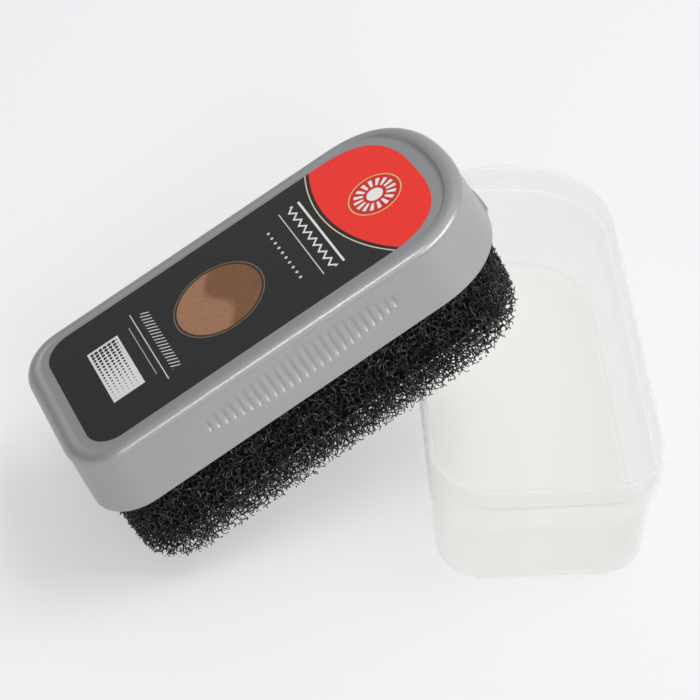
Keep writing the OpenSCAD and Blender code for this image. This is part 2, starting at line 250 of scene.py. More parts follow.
dip = add(grip, "ShaderNodeMath", [dip, dip], operation="MULTIPLY")
dip = add(grip, "ShaderNodeMath", [1.0, dip], operation="SUBTRACT")
dip = add(grip, "ShaderNodeMath", [dip, 0.0], operation="MAXIMUM")
dip = add(grip, "ShaderNodeMath", [dip, given["Deepest"]], operation="MULTIPLY")
groove = add(grip, "ShaderNodeMath", [dip, open_share], operation="MULTIPLY")
along = add(grip, "ShaderNodeMath", [place["X"], given["Hollow length"]], operation="DIVIDE")
high = add(grip, "ShaderNodeMath", [rise, given["Hollow height"]], operation="DIVIDE")
lens = add(grip, "ShaderNodeMath", [along, along], operation="MULTIPLY")
lens = add(grip, "ShaderNodeMath", [high, high, lens], operation="MULTIPLY_ADD")
hollow = add(grip, "ShaderNodeMapRange", {"Value": lens, "From Min": given["Hollow flat"], "From Max": 1.0,
                                          "To Min": given["Hollow depth"], "To Max": 0.0},
             interpolation_type="SMOOTHSTEP")
depth = add(grip, "ShaderNodeMath", [groove, hollow], operation="ADD")
side = add(grip, "ShaderNodeMath", [place["Y"]], operation="SIGN")
inward = add(grip, "ShaderNodeMath", [side, -1.0], operation="MULTIPLY")
inward = add(grip, "ShaderNodeMath", [inward, depth], operation="MULTIPLY")
wall_reach = add(grip, "ShaderNodeMath", [given["Wall"], given["Skin"]], operation="SUBTRACT")
from_middle = add(grip, "ShaderNodeMath", [place["Y"]], operation="ABSOLUTE")
on_wall = add(grip, "ShaderNodeMath", [from_middle, wall_reach], operation="GREATER_THAN")
moved = add(grip, "GeometryNodeSetPosition", {"Geometry": given["Geometry"], "Selection": on_wall,
                                              "Offset": add(grip, "ShaderNodeCombineXYZ", {"Y": inward})})
real = add(grip, "GeometryNodeRealizeInstances", {"Geometry": moved})
dressed = add(grip, "GeometryNodeSetMaterial", {"Geometry": real, "Material": given["Plastic"]})
add(grip, "NodeGroupOutput", {"Geometry": dressed}, out=None)
modifier = casing.modifiers.new("grip_grooves", "NODES")
modifier.node_group = grip
for name, value in GRIP.items():
    modifier[grip_ids[name]] = value
modifier[plastic_id] = abs_plastic
grooved = bpy.data.meshes.new_from_object(casing.evaluated_get(bpy.context.evaluated_depsgraph_get()))
casing.modifiers.clear()
casing.data = grooved
casing.data.transform(on_the_rim)
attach(casing, "brush")
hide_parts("casing")

# Label: self-adhesive film, printed and varnished satin, laid on the panel. Its plain design is a red nose end
# on black with a rayed disc, a round swatch of brushed brown nap, a zigzag band, rules and a field of dots.
LABEL_L, LABEL_W, LABEL_X = 120.0, 52.4, -1.0
LABEL_CORNER, LABEL_NOSE, LABEL_FULL, LABEL_T, LABEL_CAP = 8.8, 23.0, 2.75, 0.15, 7.0
SUNK, BACK_R, FACE_R = 0.02, 0.03, 0.04     # how far the film sinks in its glue, and its cut edge's two roundings
label_line = outline(LABEL_L, LABEL_W, LABEL_CORNER, LABEL_NOSE, np.linspace(36, -50, 30), LABEL_FULL, 64, 16)
label_levels = ((LABEL_CAP, -SUNK), (BACK_R, -SUNK), (0, BACK_R), (0, LABEL_T - FACE_R), (FACE_R, LABEL_T),
                (LABEL_CAP, LABEL_T))
label = skin("printed_label", [ring(label_line, *[inset] * 3, BEAD_Z - PANEL_DROP + up) + [LABEL_X, 0, 0]
                               for inset, up in label_levels])
print_map = label.data.uv_layers.new(name="print_mm")
print_map.data.foreach_set("uv", np.array([label.data.vertices[c.vertex_index].co[:2]
                                           for c in label.data.loops]).ravel())
label.data.transform(on_the_rim)

# Printed film under a satin varnish, which ripples a little over the glue. The print is laid out in mm.
film = blank_material("varnished_label_film")
tree = film.node_tree
uv = add(tree, "ShaderNodeUVMap", uv_map="print_mm")
spot = add(tree, "ShaderNodeSeparateXYZ", [uv], out=None)
x, y = spot["X"], spot["Y"]
# The red field's edge is an arc that bulges towards the square end, and the disc and the swatch are round
RED_R, DISC_X, RAYS, SWATCH_X = 54.0, 45.0, 16.0, -9.0
from_arc, from_disc, from_swatch = [
    add(tree, "ShaderNodeVectorMath", [uv, middle], out="Value", operation="DISTANCE")
    for middle in ((84.0, 6.0, 0), (DISC_X, 0, 0), (SWATCH_X, 0, 0))]
disc_axes = add(tree, "ShaderNodeVectorMath", [uv, (DISC_X, 0, 0)], operation="SUBTRACT")
disc_axes = add(tree, "ShaderNodeSeparateXYZ", [disc_axes], out=None)
rays = add(tree, "ShaderNodeMath", [disc_axes["Y"], disc_axes["X"]], operation="ARCTAN2")
rays = add(tree, "ShaderNodeMath", [rays, RAYS], operation="MULTIPLY")
rays = add(tree, "ShaderNodeMath", [rays], operation="COSINE")
# Half the pitch of the zigzag, the slanted strokes and the row of pearls, and the whole pitch of the dots
ZIG, STROKE, PEARL, DOT_PITCH = 1.9, 0.8, 1.4, 1.5
STROKE_LEAN, PEARL_X, SMALL_DOT, LARGE_DOT = 0.6, 13.6, 0.15, 0.68
zigzag = add(tree, "ShaderNodeMath", [y, ZIG], operation="PINGPONG")
zigzag = add(tree, "ShaderNodeMath", [zigzag, -1.0, x], operation="MULTIPLY_ADD")
strokes = add(tree, "ShaderNodeMath", [x, STROKE_LEAN, y], operation="MULTIPLY_ADD")
strokes = add(tree, "ShaderNodeMath", [strokes, STROKE], operation="PINGPONG")
pearls = add(tree, "ShaderNodeMath", [y, PEARL], operation="PINGPONG")
pearls = add(tree, "ShaderNodeCombineXYZ", [pearls, x, 0.0])
from_pearl = add(tree, "ShaderNodeVectorMath", [pearls, (PEARL, PEARL_X, 0)], out="Value", operation="DISTANCE")
dots = add(tree, "ShaderNodeVectorMath", [uv, (DOT_PITCH, DOT_PITCH, DOT_PITCH)], operation="MODULO")
dots = add(tree, "ShaderNodeVectorMath", [dots], operation="ABSOLUTE")
from_dot = add(tree, "ShaderNodeVectorMath", [dots, (DOT_PITCH / 2, DOT_PITCH / 2, 0)], out="Value",
               operation="DISTANCE")
dot_size = add(tree, "ShaderNodeMapRange", {"Value": y, "From Min": -12.0, "From Max": 12.0,
                                            "To Min": SMALL_DOT, "To Max": LARGE_DOT})
past_dot = add(tree, "ShaderNodeMath", [from_dot, dot_size], operation="SUBTRACT")
# Brown nap of short hairs that lie aslant along the print, brushed the other way up to a waving edge
HAIRS_PER_MM, HAIR_SLANT = (0.5, 2.6, 1.0), 0.5
WAVE_RATE, WAVE_H, WAVE_SPREAD = 0.28, 2.4, 1.2
hairs = add(tree, "ShaderNodeMapping", {"Vector": uv, "Scale": HAIRS_PER_MM, "Rotation": (0, 0, HAIR_SLANT)})
hairs = add(tree, "ShaderNodeTexNoise", {"Vector": hairs, "Scale": 1.0, "Detail": 5.0, "Roughness": 0.7})
wave = add(tree, "ShaderNodeMath", [y, WAVE_RATE], operation="MULTIPLY")
wave = add(tree, "ShaderNodeMath", [wave], operation="SINE")
wave = add(tree, "ShaderNodeMath", [wave, WAVE_H, x], operation="MULTIPLY_ADD")
brushed = add(tree, "ShaderNodeMapRange", {"Value": wave, "From Min": SWATCH_X - WAVE_SPREAD,
                                           "From Max": SWATCH_X + WAVE_SPREAD, "To Min": 1.0, "To Max": 0.0})
nap_dark = add(tree, "ShaderNodeMix", {"Factor_Float": hairs, "A_Color": colour("#3d2417"),
                                       "B_Color": colour("#a5714d")}, out=2, data_type="RGBA")
nap_light = add(tree, "ShaderNodeMix", {"Factor_Float": hairs, "A_Color": colour("#6d4530"),
                                        "B_Color": colour("#c99670")}, out=2, data_type="RGBA")
nap = add(tree, "ShaderNodeMix", {"Factor_Float": brushed, "A_Color": nap_dark, "B_Color": nap_light}, out=2,
          data_type="RGBA")
# An ink lies where every value in its row is within a reach of its middle, as (value, middle, reach). A fourth
# number is how far the edge spreads, where that isn't EDGE_SPREAD. Later inks are printed over earlier ones.
EDGE_SPREAD, CRISP = 0.07, 0.001
rule_reach = (y, 0.0, 17.5)
INKS = (
    ("#fb3127", (from_arc, 0.0, RED_R)),
    ("#e9d9b8", (from_arc, RED_R + 1.3, 0.18)),
    ("#e2c48d", (from_disc, 0.0, 8.4)),
    ("#d8261f", (from_disc, 0.0, 8.0)),
    ("#f6f3ee", (from_disc, 5.2, 1.5), (rays, -1.0, 1.0, 0.2)),
    ("#f6f3ee", (from_disc, 0.0, 2.6)),
    ("#efefec", (x, 26.2, 0.35), rule_reach),
    ("#efefec", (zigzag, 22.0, 0.42), rule_reach),
    ("#d9d9d6", (x, 19.4, 0.16), rule_reach),
    ("#dcdcd9", (from_pearl, 0.0, 0.5), (y, 0.0, 14.0)),
    ("#8a6a4c", (from_swatch, 0.0, 14.6)),
    ("#252526", (from_swatch, 0.0, 14.25)),
    (nap, (from_swatch, 0.0, 13.6)),
    ("#d9d9d6", (x, -29.5, 1.5), (strokes, 0.0, 0.22), (y, 0.0, 15.0)),
    ("#d9d9d6", (x, -33.2, 0.16), rule_reach),
    ("#a9a9a6", (x, -35.4, 0.16), (y, 0.0, 12.5)),
    ("#e4e4e1", (x, -44.6, 5.25), (y, 0.0, 12.75)),
    ("#2b2b2c", (x, -44.6, 4.5), (y, 0.0, 12.0), (past_dot, -1.0, 1.0, CRISP)),
)
art = colour("#232324")
for ink, *limits in INKS:
    mask = 1.0
    for value, middle, reach, *spread in limits:
        soft = spread[0] if spread else EDGE_SPREAD
        gap = add(tree, "ShaderNodeMath", [value, middle], operation="SUBTRACT")
        gap = add(tree, "ShaderNodeMath", [gap], operation="ABSOLUTE")
        mask = add(tree, "ShaderNodeMapRange", {"Value": gap, "From Min": reach - soft,
                                                "From Max": reach + soft, "To Min": mask, "To Max": 0.0})
    art = add(tree, "ShaderNodeMix", {"Factor_Float": mask, "A_Color": art,
                                      "B_Color": colour(ink) if isinstance(ink, str) else ink},
              out=2, data_type="RGBA")
FILM_RIPPLE = 1 / 0.09                      # mm
ripple = add(tree, "ShaderNodeTexNoise", {"Vector": uv, "Scale": 1 / FILM_RIPPLE, "Detail": 2.0})
surface = add(tree, "ShaderNodeBsdfPrincipled", {
    "Base Color": art, "Roughness": 0.34, "IOR": 1.5,
    "Normal": add(tree, "ShaderNodeBump", {"Height": ripple, "Strength": 0.2, "Distance": 0.0002})})
add(tree, "ShaderNodeOutputMaterial", {"Surface": surface}, out=None)
label.data.materials.append(film)
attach(label, "brush")
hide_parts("label")

# Backing plate: a moulded ABS sheet of 2.5 mm whose four pins are pressed into the casing's bosses. It closes
# the casing from below, and only a narrow line of it shows round the foam.
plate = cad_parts["backing_plate"]
PLATE_GRAIN = 1 / 1.6                       # mm
plate_abs = blank_material("plain_moulded_abs")
tree = plate_abs.node_tree
where = add(tree, "ShaderNodeTexCoord", out="Object")
grain = add(tree, "ShaderNodeTexNoise", {"Vector": where, "Scale": 1000 / PLATE_GRAIN, "Detail": 3.0})
surface = add(tree, "ShaderNodeBsdfPrincipled", {
    "Base Color": add(tree, "ShaderNodeMix", {"Factor_Float": grain, "A_Color": colour("#6a6b6d"),
                                              "B_Color": colour("#757678")}, out=2, data_type="RGBA"),
    "Normal": add(tree, "ShaderNodeBump", {"Height": grain, "Strength": 0.3, "Distance": 0.0001}),
    "Roughness": 0.55})
add(tree, "ShaderNodeOutputMaterial", {"Surface": surface}, out=None)
plate.data.materials.clear()
plate.data.materials.append(plate_abs)

# Glue: a film of contact adhesive between the plate and the foam, straw-coloured and slightly glossy, with the
# strings it was spread in. It is set in from the foam's sides, so no more than a line of it can be seen.
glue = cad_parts["foam_adhesive"]
GLUE_STRING = 1 / 0.45                      # mm
contact = blank_material("dried_contact_adhesive")
tree = contact.node_tree
where = add(tree, "ShaderNodeTexCoord", out="Object")
strings = add(tree, "ShaderNodeTexNoise", {"Vector": where, "Scale": 1000 / GLUE_STRING, "Detail": 4.0,
                                           "Distortion": 1.5})
surface = add(tree, "ShaderNodeBsdfPrincipled", {
    "Base Color": add(tree, "ShaderNodeMix", {"Factor_Float": strings, "A_Color": colour("#b7a374"),
                                              "B_Color": colour("#d3c39a")}, out=2, data_type="RGBA"),
    "Normal": add(tree, "ShaderNodeBump", {"Height": strings, "Strength": 0.5, "Distance": 0.0003}),
    "Roughness": 0.4})
add(tree, "ShaderNodeOutputMaterial", {"Surface": surface}, out=None)
glue.data.materials.clear()
glue.data.materials.append(contact)

# Foam block: coarse reticulated polyurethane foam, dyed black, die-cut and glued to the plate. It is nothing but
# struts that meet four by four at the corners of its cells, so its cut faces show open cells and broken ends.
# The cells are grown as the Voronoi cells of a shaken lattice, and a strut is where three of them meet.
FOAM_NOSE, FOAM_TOP = 28.0, 29.9
CELL_PITCH, CELL_JITTER = 2.2, 0.30         # mm, which makes a pore of about 1.2 mm, and a share of the pitch
SPARE_CELLS, FAR_CORNER = 1.15, 0.95        # in pitches: cells grown past the layer, and a corner's distance
STRUT_R, STRUT_THIN, STRUT_THICK = 0.158, 0.75, 1.3
LAYER, EDGE_LAYER = 3.0, 12.0               # depth of open cells under a face, and across the lower edge
FUZZ_IN, FUZZ_OUT, RAGGED, TORN = 0.75, 0.45, 1.6, 0.16
LEAST_START, LEAST_SHARE = 0.1, 0.05        # mm that a strut starts inside, and the share of it that is left
NEAREST, TESTED = 20, 30                    # neighbours that can share a corner, and that are tested against it
rng = np.random.default_rng(7)
foam_line = outline(FOAM_L, FOAM_W, FOAM_CORNER, FOAM_NOSE, np.linspace(39, -50, 60), nose_steps=90)


def side_depth(points):
    """Distance inwards from the foam's side, in mm."""
    depth = np.empty(len(points))
    for k in range(0, len(points), 4000):
        gap = points[k:k + 4000, None, :2] - foam_line[None, :, :2]
        near = (gap ** 2).sum(2).argmin(1)
        depth[k:k + 4000] = -(gap[np.arange(len(near)), near] * foam_line[near, 2:]).sum(1)
    return depth


def in_open_layer(points, spare):
    """Whether a point is in the open outer layer of the block, with some to spare."""
    side, low, high = side_depth(points), points[:, 2], FOAM_TOP - points[:, 2]
    inside = (side > -spare) & (low > -spare) & (high > -spare)
    return inside & ((side < LAYER + spare) | (low < LAYER + spare) | (side + low < EDGE_LAYER + spare))


axes = [np.arange(-size - 2 * CELL_PITCH, size + 2 * CELL_PITCH, CELL_PITCH)
        for size in (FOAM_L / 2, FOAM_W / 2)]
axes.append(np.arange(-2 * CELL_PITCH, FOAM_TOP + 2 * CELL_PITCH, CELL_PITCH))
lattice = np.stack(np.meshgrid(*axes, indexing="ij"), -1).reshape(-1, 3)
seeds = np.vstack([lattice, lattice + CELL_PITCH / 2])
seeds += rng.uniform(-CELL_JITTER * CELL_PITCH, CELL_JITTER * CELL_PITCH, seeds.shape)
seeds = seeds[in_open_layer(seeds, SPARE_CELLS * CELL_PITCH)]
finder = KDTree(len(seeds))
for k, p in enumerate(seeds):
    finder.insert(p, k)
finder.balance()
around = np.array([[found[1] for found in finder.find_n(p, TESTED + 1)][1:] for p in seeds])
later = [row[:NEAREST][row[:NEAREST] > k] for k, row in enumerate(around)]
sizes = np.array([len(row) for row in later])
meets, sets = [], []
for m in range(3, NEAREST + 1):
    who = np.flatnonzero(sizes == m)
    if not len(who):
        continue
    trio = np.array(list(itertools.combinations(range(m), 3)))
    near = np.array([later[k] for k in who])
    for cut in range(0, len(who), 150):
        w = who[cut:cut + 150]
        four = near[cut:cut + 150][:, trio]
        d = seeds[four] - seeds[w][:, None, None]
        b = (d ** 2).sum(-1) / 2
        c23, c31, c12 = (np.cross(d[:, :, i], d[:, :, j]) for i, j in ((1, 2), (2, 0), (0, 1)))
        det = (d[:, :, 0] * c23).sum(-1)
        with np.errstate(divide="ignore", invalid="ignore"):
            centre = (b[..., :1] * c23 + b[..., 1:2] * c31 + b[..., 2:] * c12) / det[..., None]
        r2 = (centre ** 2).sum(-1)
        row, col = np.nonzero((np.abs(det) > 1e-6) & (r2 < (FAR_CORNER * CELL_PITCH) ** 2))
        centre, r2 = centre[row, col] + seeds[w[row]], r2[row, col]
        free = ((seeds[around[w[row]]] - centre[:, None]) ** 2).sum(-1).min(1) > r2 - 1e-7
        meets.append(centre[free])
        sets.append(np.sort(np.c_[w[row][free], four[row[free], col[free]]], axis=1))
meets, sets = np.vstack(meets), np.vstack(sets)
count = len(seeds)
keys = np.concatenate([(sets[:, i] * count + sets[:, j]) * count + sets[:, k]
                       for i, j, k in ((0, 1, 2), (0, 1, 3), (0, 2, 3), (1, 2, 3))])
owner = np.tile(np.arange(len(sets)), 4)
rank = np.argsort(keys, kind="stable")
keys, owner = keys[rank], owner[rank]
same = np.flatnonzero(keys[1:] == keys[:-1])
struts = np.c_[owner[same], owner[same + 1]]

# A strut that crosses a cut face ends there, a little before or after it, and some of the outermost are torn off
fuzz = rng.uniform(-FUZZ_OUT, FUZZ_IN, len(struts))
torn = rng.random(len(struts)) < TORN
depth = np.minimum(np.minimum(side_depth(meets), meets[:, 2]), FOAM_TOP - meets[:, 2])
swap = depth[struts[:, 0]] < depth[struts[:, 1]]
struts[swap] = struts[swap][:, ::-1]
start, end = depth[struts[:, 0]], depth[struts[:, 1]]
kept = (start > LEAST_START) & in_open_layer(meets[struts[:, 0]], 0.0) & ~(torn & (end < RAGGED))
struts, start, end, fuzz = struts[kept], start[kept], end[kept], fuzz[kept]
crossing = end < fuzz
share = np.clip((start - fuzz) / (start - end + 1e-9), LEAST_SHARE, 1)
cut_ends = meets[struts[:, 0]] + share[:, None] * (meets[struts[:, 1]] - meets[struts[:, 0]])
nodes = np.vstack([meets, cut_ends[crossing]])
struts[crossing, 1] = len(meets) + np.arange(crossing.sum())

# Struts are joined through their nodes into long threads, each going on to the strut most in line with it.
# A thread's halves are numbered: strut e leaves its first node as 2 e and its last as 2 e + 1.
at_node = {}
for e, (p, q) in enumerate(struts.tolist()):
    at_node.setdefault(p, []).append(2 * e)
    at_node.setdefault(q, []).append(2 * e + 1)
way = nodes[struts[:, 1]] - nodes[struts[:, 0]]
way /= np.linalg.norm(way, axis=1)[:, None] + 1e-12
way = np.stack([way, -way], 1).reshape(-1, 3).tolist()
partner = [-1] * (2 * len(struts))
for ends in at_node.values():
    pairs = sorted((sum(u * v for u, v in zip(way[p], way[q])), p, q)
                   for p, q in itertools.combinations(ends, 2))
    for _, p, q in pairs:
        if partner[p] < 0 and partner[q] < 0:
            partner[p], partner[q] = q, p
threads, used = [], bytearray(len(struts))
for h in [h for h in range(len(partner)) if partner[h] < 0] + list(range(len(partner))):
    if used[h // 2]:
        continue
    thread = [struts[h // 2, h % 2]]
    while h >= 0 and not used[h // 2]:
        used[h // 2] = 1
        thread.append(struts[h // 2, 1 - h % 2])
        h = partner[h ^ 1]
    threads.append(thread)
index = np.concatenate(threads)
joins = np.ones(len(index), bool)
joins[np.cumsum([len(t) for t in threads]) - 1] = False
at = np.flatnonzero(joins)
lines = bpy.data.meshes.new("strut_lines")
lines.from_pydata(nodes[index].tolist(), np.c_[at, at + 1].tolist(), [])
thick = STRUT_R * rng.uniform(STRUT_THIN, STRUT_THICK, len(nodes))
radii = lines.attributes.new("strut_radius", "FLOAT", "POINT")
radii.data.foreach_set("value", thick[index].astype(np.float32))
foam = bpy.data.objects.new("open_cell_foam_block", lines)
bpy.context.scene.collection.objects.link(foam)

# Painted shade: a closed near-black core behind the open layer stands in for the shaded depth of the foam, with its
# lower edge cut back far
SHADE_CORE_CAP = 13.0
shade_core_low, shade_core_top, shade_core_edge = LAYER + 0.6, FOAM_TOP - 0.2, EDGE_LAYER - LAYER
shade_core_levels = ((SHADE_CORE_CAP, shade_core_low), (shade_core_edge, shade_core_low), (LAYER + 0.5, shade_core_edge),
                (LAYER, shade_core_edge + 6), (LAYER, shade_core_top), (SHADE_CORE_CAP, shade_core_top))
shade_core = skin("foam_heart", [ring(foam_line, *[inset] * 3, z) for inset, z in shade_core_levels])

# Dyed polyurethane: black with a soft shine, so that a strut shows as a thin grey line where it faces the light
DYE_MOTTLE, DEEP_PORE = 1 / 0.35, 1 / 0.8   # mm
dyed_foam = blank_material("dyed_reticulated_polyurethane")
tree = dyed_foam.node_tree
where = add(tree, "ShaderNodeTexCoord", out="Object")
mottle = add(tree, "ShaderNodeTexNoise", {"Vector": where, "Scale": 1000 / DYE_MOTTLE, "Detail": 2.0})
surface = add(tree, "ShaderNodeBsdfPrincipled", {
    "Base Color": add(tree, "ShaderNodeMix", {"Factor_Float": mottle, "A_Color": colour("#121213"),
                                              "B_Color": colour("#29292a")}, out=2, data_type="RGBA"),
    "Roughness": 0.38, "IOR": 1.5})
add(tree, "ShaderNodeOutputMaterial", {"Surface": surface}, out=None)

# Painted shade on the core for the depth of the foam, which light hardly reaches: near black, with the pores
# faintly drawn as slightly lighter edges
painted_shade_foam = blank_material("shaded_foam_depth")
tree = painted_shade_foam.node_tree
where = add(tree, "ShaderNodeTexCoord", out="Object")
pores = add(tree, "ShaderNodeTexVoronoi", {"Vector": where, "Scale": 1000 / DEEP_PORE},
            feature="DISTANCE_TO_EDGE")
surface = add(tree, "ShaderNodeBsdfPrincipled", {
    "Base Color": add(tree, "ShaderNodeMapRange", {"Value": pores, "From Min": 0.02, "From Max": 0.12,
                                                   "To Min": 0.006, "To Max": 0.001}),
    "Roughness": 0.9, "Specular IOR Level": 0.1})
add(tree, "ShaderNodeOutputMaterial", {"Surface": surface}, out=None)

# The threads are given their thickness, and the painted-shade core is put behind them
weave = bpy.data.node_groups.new("foam_struts", "GeometryNodeTree")
for way in ("INPUT", "OUTPUT"):
    weave.interface.new_socket("Geometry", in_out=way, socket_type="NodeSocketGeometry")
WEAVE = {"Heart": ("NodeSocketObject", shade_core), "Corners": ("NodeSocketInt", 3),
         "Strut foam": ("NodeSocketMaterial", dyed_foam), "Heart foam": ("NodeSocketMaterial", painted_shade_foam)}
weave_ids = {name: weave.interface.new_socket(name, in_out="INPUT", socket_type=kind).identifier
             for name, (kind, _) in WEAVE.items()}
given = add(weave, "NodeGroupInput", out=None)
radius = add(weave, "GeometryNodeInputNamedAttribute", {"Name": "strut_radius"}, data_type="FLOAT")
strings = add(weave, "GeometryNodeMeshToCurve", {"Mesh": given["Geometry"]})
section = add(weave, "GeometryNodeCurvePrimitiveCircle", {"Resolution": given["Corners"], "Radius": 1.0})
tubes = add(weave, "GeometryNodeCurveToMesh", {"Curve": strings, "Profile Curve": section, "Scale": radius,
                                               "Fill Caps": True})
flat = add(weave, "GeometryNodeSetShadeSmooth", {"Geometry": tubes, "Shade Smooth": False})
core = add(weave, "GeometryNodeObjectInfo", {"Object": given["Heart"]}, out="Geometry")
block = add(weave, "GeometryNodeJoinGeometry", [core])
weave.links.new(flat, block.node.inputs[0])
real = add(weave, "GeometryNodeRealizeInstances", {"Geometry": block})
real = add(weave, "GeometryNodeSetMaterial", {"Geometry": real, "Material": given["Heart foam"]})
is_strut = add(weave, "ShaderNodeMath", [radius, 0.0], operation="GREATER_THAN")
dressed = add(weave, "GeometryNodeSetMaterial", {"Geometry": real, "Selection": is_strut,
                                                 "Material": given["Strut foam"]})
add(weave, "NodeGroupOutput", {"Geometry": dressed}, out=None)
modifier = foam.modifiers.new("foam_struts", "NODES")
modifier.node_group = weave
for name, (_, value) in WEAVE.items():
    modifier[weave_ids[name]] = value
woven = bpy.data.meshes.new_from_object(foam.evaluated_get(bpy.context.evaluated_depsgraph_get()))
foam.modifiers.clear()
foam.data = woven
foam.data.attributes.remove(foam.data.attributes["strut_radius"])
foam.data.transform(on_the_rim)
bpy.data.objects.remove(shade_core)
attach(foam, "brush")
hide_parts("foam_block")

# Cover: an open box moulded from natural, milky polypropylene about 1.3 mm thick. Its rim band slips over the
# casing's skirt down to a ledge, a proud lip stiffens the rim, and the wall steps in to a tapered base.
COVER_WALL, FLOOR_T, BAND_H, LEDGE_W, RIM_R, LEDGE_R = 1.3, 1.4, 8.5, 1.1, 0.32, 0.3
LIP_H, LIP_PROUD, LIP_EASE = 6.0, 0.35, 0.6
SHOULDER_DROP, SHOULDER_H, SHOULDER_STEP = 12.9, 7.5, 1.9
BASE_DRAFT, BASE_R, TRAY_DRAFT, TRAY_R, BASE_CAP = 1.0, 2.0, 2.0, 1.0, 9.0
SNAP_H, SNAP_PROUD, SNAP_DROP = 1.0, 0.45, 4.9
wall_in, tray_in = LIP_PROUD + SHOULDER_STEP, COVER_WALL + LEDGE_W
base_in, ledge_z = wall_in + BASE_DRAFT, COVER_H - BAND_H
snap_mid = COVER_H - SNAP_DROP - SNAP_H / 2
cover_line = outline(CASING_L, CASING_W, CORNER, NOSE_DEPTH, np.linspace(40, -54, 60))
snaps = catch_beads(cover_line, NOSE_CATCH_W, SQUARE_CATCH_W, 1.2)
# Outside, as inset from the rim's outer face and height: the base's rounded edge, the shoulder, the lip, the rim
profile = [(base_in + BASE_R + BASE_CAP, 0.0)]
for t in np.radians(np.linspace(0, 90, 9)):
    profile.append((base_in + BASE_R * (1 - math.sin(t)), BASE_R * (1 - math.cos(t))))
for u in np.linspace(0, 1, 13):
    profile.append((wall_in - SHOULDER_STEP * (1 - math.cos(math.pi * u)) / 2,
                    COVER_H - SHOULDER_DROP - SHOULDER_H * (1 - u)))
for u in np.linspace(0, 1, 7):
    profile.append((LIP_PROUD * (1 + math.cos(math.pi * u)) / 2, COVER_H - LIP_H - LIP_EASE * (1 - u)))
for t in np.radians(np.linspace(0, 90, 6)):
    profile.append((RIM_R * (1 - math.cos(t)), COVER_H - RIM_R * (1 - math.sin(t))))
for t in np.radians(np.linspace(90, 0, 6)):
    profile.append((COVER_WALL - RIM_R * (1 - math.cos(t)), COVER_H - RIM_R * (1 - math.sin(t))))
# Inside: the rim band in close steps over its snap bead, the ledge, and the tray with its rounded floor
for z in np.r_[np.linspace(COVER_H - 1.2, snap_mid + 0.8, 4), snap_mid + np.linspace(0.5, -0.5, 9) * SNAP_H,
               snap_mid - 0.9]:
    profile.append((COVER_WALL, z))
for t in np.radians(np.linspace(0, 90, 5)):
    profile.append((COVER_WALL + LEDGE_R * (1 - math.cos(t)), ledge_z + LEDGE_R * (1 - math.sin(t))))
for t in np.radians(np.linspace(0, 90, 5)):
    profile.append((tray_in - LEDGE_R * (1 - math.sin(t)), ledge_z - LEDGE_R * (1 - math.cos(t))))
for u in np.linspace(0.1, 0.9, 5):
    profile.append((tray_in + TRAY_DRAFT * u,
                    ledge_z - LEDGE_R - (ledge_z - LEDGE_R - FLOOR_T - TRAY_R) * u))
for t in np.radians(np.linspace(90, 0, 7)):
    profile.append((tray_in + TRAY_DRAFT + TRAY_R * (1 - math.sin(t)), FLOOR_T + TRAY_R * (1 - math.cos(t))))
profile.append((tray_in + TRAY_DRAFT + TRAY_R + BASE_CAP, FLOOR_T))
rims = []
for inset, z in profile:
    rims.append(ring(cover_line, *[inset - RIM_OUT] * 3, z))
    if inset == COVER_WALL:
        bulge = SNAP_PROUD * math.sqrt(max(0.0, 1 - ((z - snap_mid) / (SNAP_H / 2)) ** 2))
        rims[-1][:, :2] -= (bulge * snaps)[:, None] * cover_line[:, 2:]
cover = skin("moulded_cover", rims, 50)
cover.data.transform(mm_to_m)

# Natural polypropylene: milky, so that walls look white where they overlap and let the table show through one.
# It scatters light forwards, so lamps and their bounces get through it more easily than the eye sees through it.
# Of a wall's two faces only the one towards the ray is milky, so that each wall counts once.
SEEN_ALPHA, LIT_ALPHA = 0.38, 0.2
MILK_CLOUD, MOULD_GRAIN, FLOOR_SHADE_H = 1 / 0.045, 1 / 1.8, 4.5    # mm
milky = blank_material("natural_milky_polypropylene")
tree = milky.node_tree
where = add(tree, "ShaderNodeTexCoord", out="Object")
haze = add(tree, "ShaderNodeTexNoise", {"Vector": where, "Scale": 1000 / MILK_CLOUD, "Detail": 3.0})
grain = add(tree, "ShaderNodeTexNoise", {"Vector": where, "Scale": 1000 / MOULD_GRAIN, "Detail": 2.0})
path = add(tree, "ShaderNodeLightPath", out=None)
lighting = add(tree, "ShaderNodeMath", [path["Is Shadow Ray"], path["Is Diffuse Ray"]], operation="MAXIMUM")
milk = add(tree, "ShaderNodeMath", [lighting, LIT_ALPHA - SEEN_ALPHA, SEEN_ALPHA], operation="MULTIPLY_ADD")
back = add(tree, "ShaderNodeNewGeometry", out="Backfacing")
front = add(tree, "ShaderNodeMath", [1.0, back], operation="SUBTRACT")
clear = add(tree, "ShaderNodeMix", {"Factor_Float": haze, "A_Color": colour("#fff4e6"),
                                    "B_Color": colour("#fff7ee")}, out=2, data_type="RGBA")
